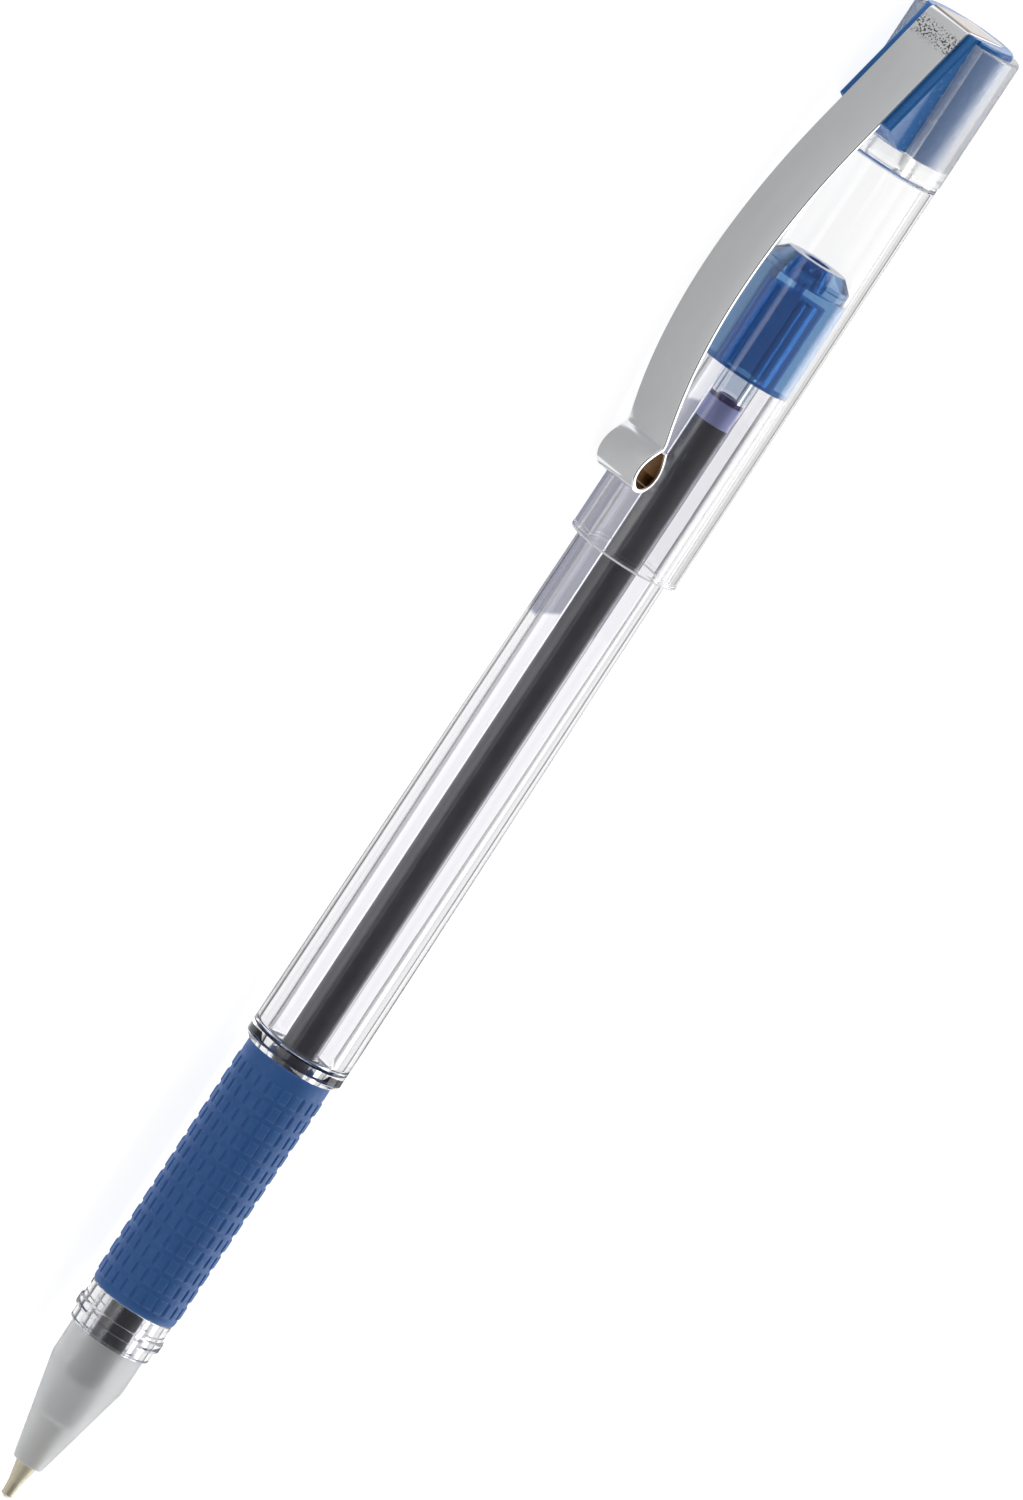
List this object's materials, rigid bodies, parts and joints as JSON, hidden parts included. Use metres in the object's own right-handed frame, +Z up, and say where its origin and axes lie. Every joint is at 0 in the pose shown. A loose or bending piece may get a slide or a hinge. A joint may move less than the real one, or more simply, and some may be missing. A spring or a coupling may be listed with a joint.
{
  "type": "gel pen",
  "caption": "Clear-barrelled gel pen with a ribbed rubber grip, a screw-in nose cone and a replaceable refill, its clip-on cap posted on the rear of the barrel.",
  "frame": {"origin": "the writing point, on the pen's axis", "axes": "+X the way the pen writes, from the crown to the point; +Z up, the pen lying on the head of its cap and the lower edge of its clip; the clip points towards -Y and 16.3 degrees below level"},
  "size_m": [0.1612, 0.0172, 0.0112],
  "materials": {
    "clear_plastic": "clear moulded polystyrene with a faint violet tint",
    "frosted_plastic": "clear moulded plastic, frosted at the head",
    "grip_rubber": "soft blue rubber with rings of small raised pads",
    "nose_plastic": "grey translucent plastic, satin",
    "plug_plastic": "blue translucent plastic",
    "insert_plastic": "blue opaque plastic",
    "tube_plastic": "clear polypropylene",
    "gel": "dark gel ink",
    "follower_gel": "violet follower grease",
    "holder_plastic": "grey plastic",
    "point_metal": "turned nickel silver",
    "ball_metal": "polished hard metal",
    "clip_steel": "polished strip steel"
  },
  "bodies": {
    "barrel": {"barrel": "clear_plastic", "grip_sleeve": "grip_rubber", "tail_plug": "plug_plastic"},
    "refill": {"ink_tube": "tube_plastic", "gel_ink": "gel", "ink_follower": "follower_gel", "tip_holder": "holder_plastic", "point_tip": "point_metal", "writing_ball": "ball_metal"},
    "nose": {"nose_cone": "nose_plastic"},
    "cap": {"cap_shell": "frosted_plastic", "crown_insert": "insert_plastic", "clip_root": "clip_steel"},
    "clip": {"clip_arm": "clip_steel"}
  },
  "joints": [
    {"name": "cap_slide", "type": "slide", "parent": "barrel", "child": "cap", "axis": [-1, 0, 0], "range_m": [0, 0.035]},
    {"name": "clip_flex", "type": "hinge", "parent": "cap", "child": "clip", "pos_m": [-0.1502, -0.00704, -0.00206], "axis": [0, 0.2807, -0.9598], "range_deg": [0, 6], "stiffness_Nm_per_rad": 2},
    {"name": "refill_advance", "type": "slide", "parent": "barrel", "child": "refill", "axis": [1, 0, 0], "range_m": [0, 0.005]},
    {"name": "nose_unscrew", "type": "hinge", "parent": "refill", "child": "nose", "pos_m": [0, 0, 0], "axis": [1, 0, 0], "range_deg": [0, 1800]}
  ],
  "couplings": [
    {"joint": "nose_unscrew", "follows": "refill_advance", "rad_per_m": 6283}
  ]
}
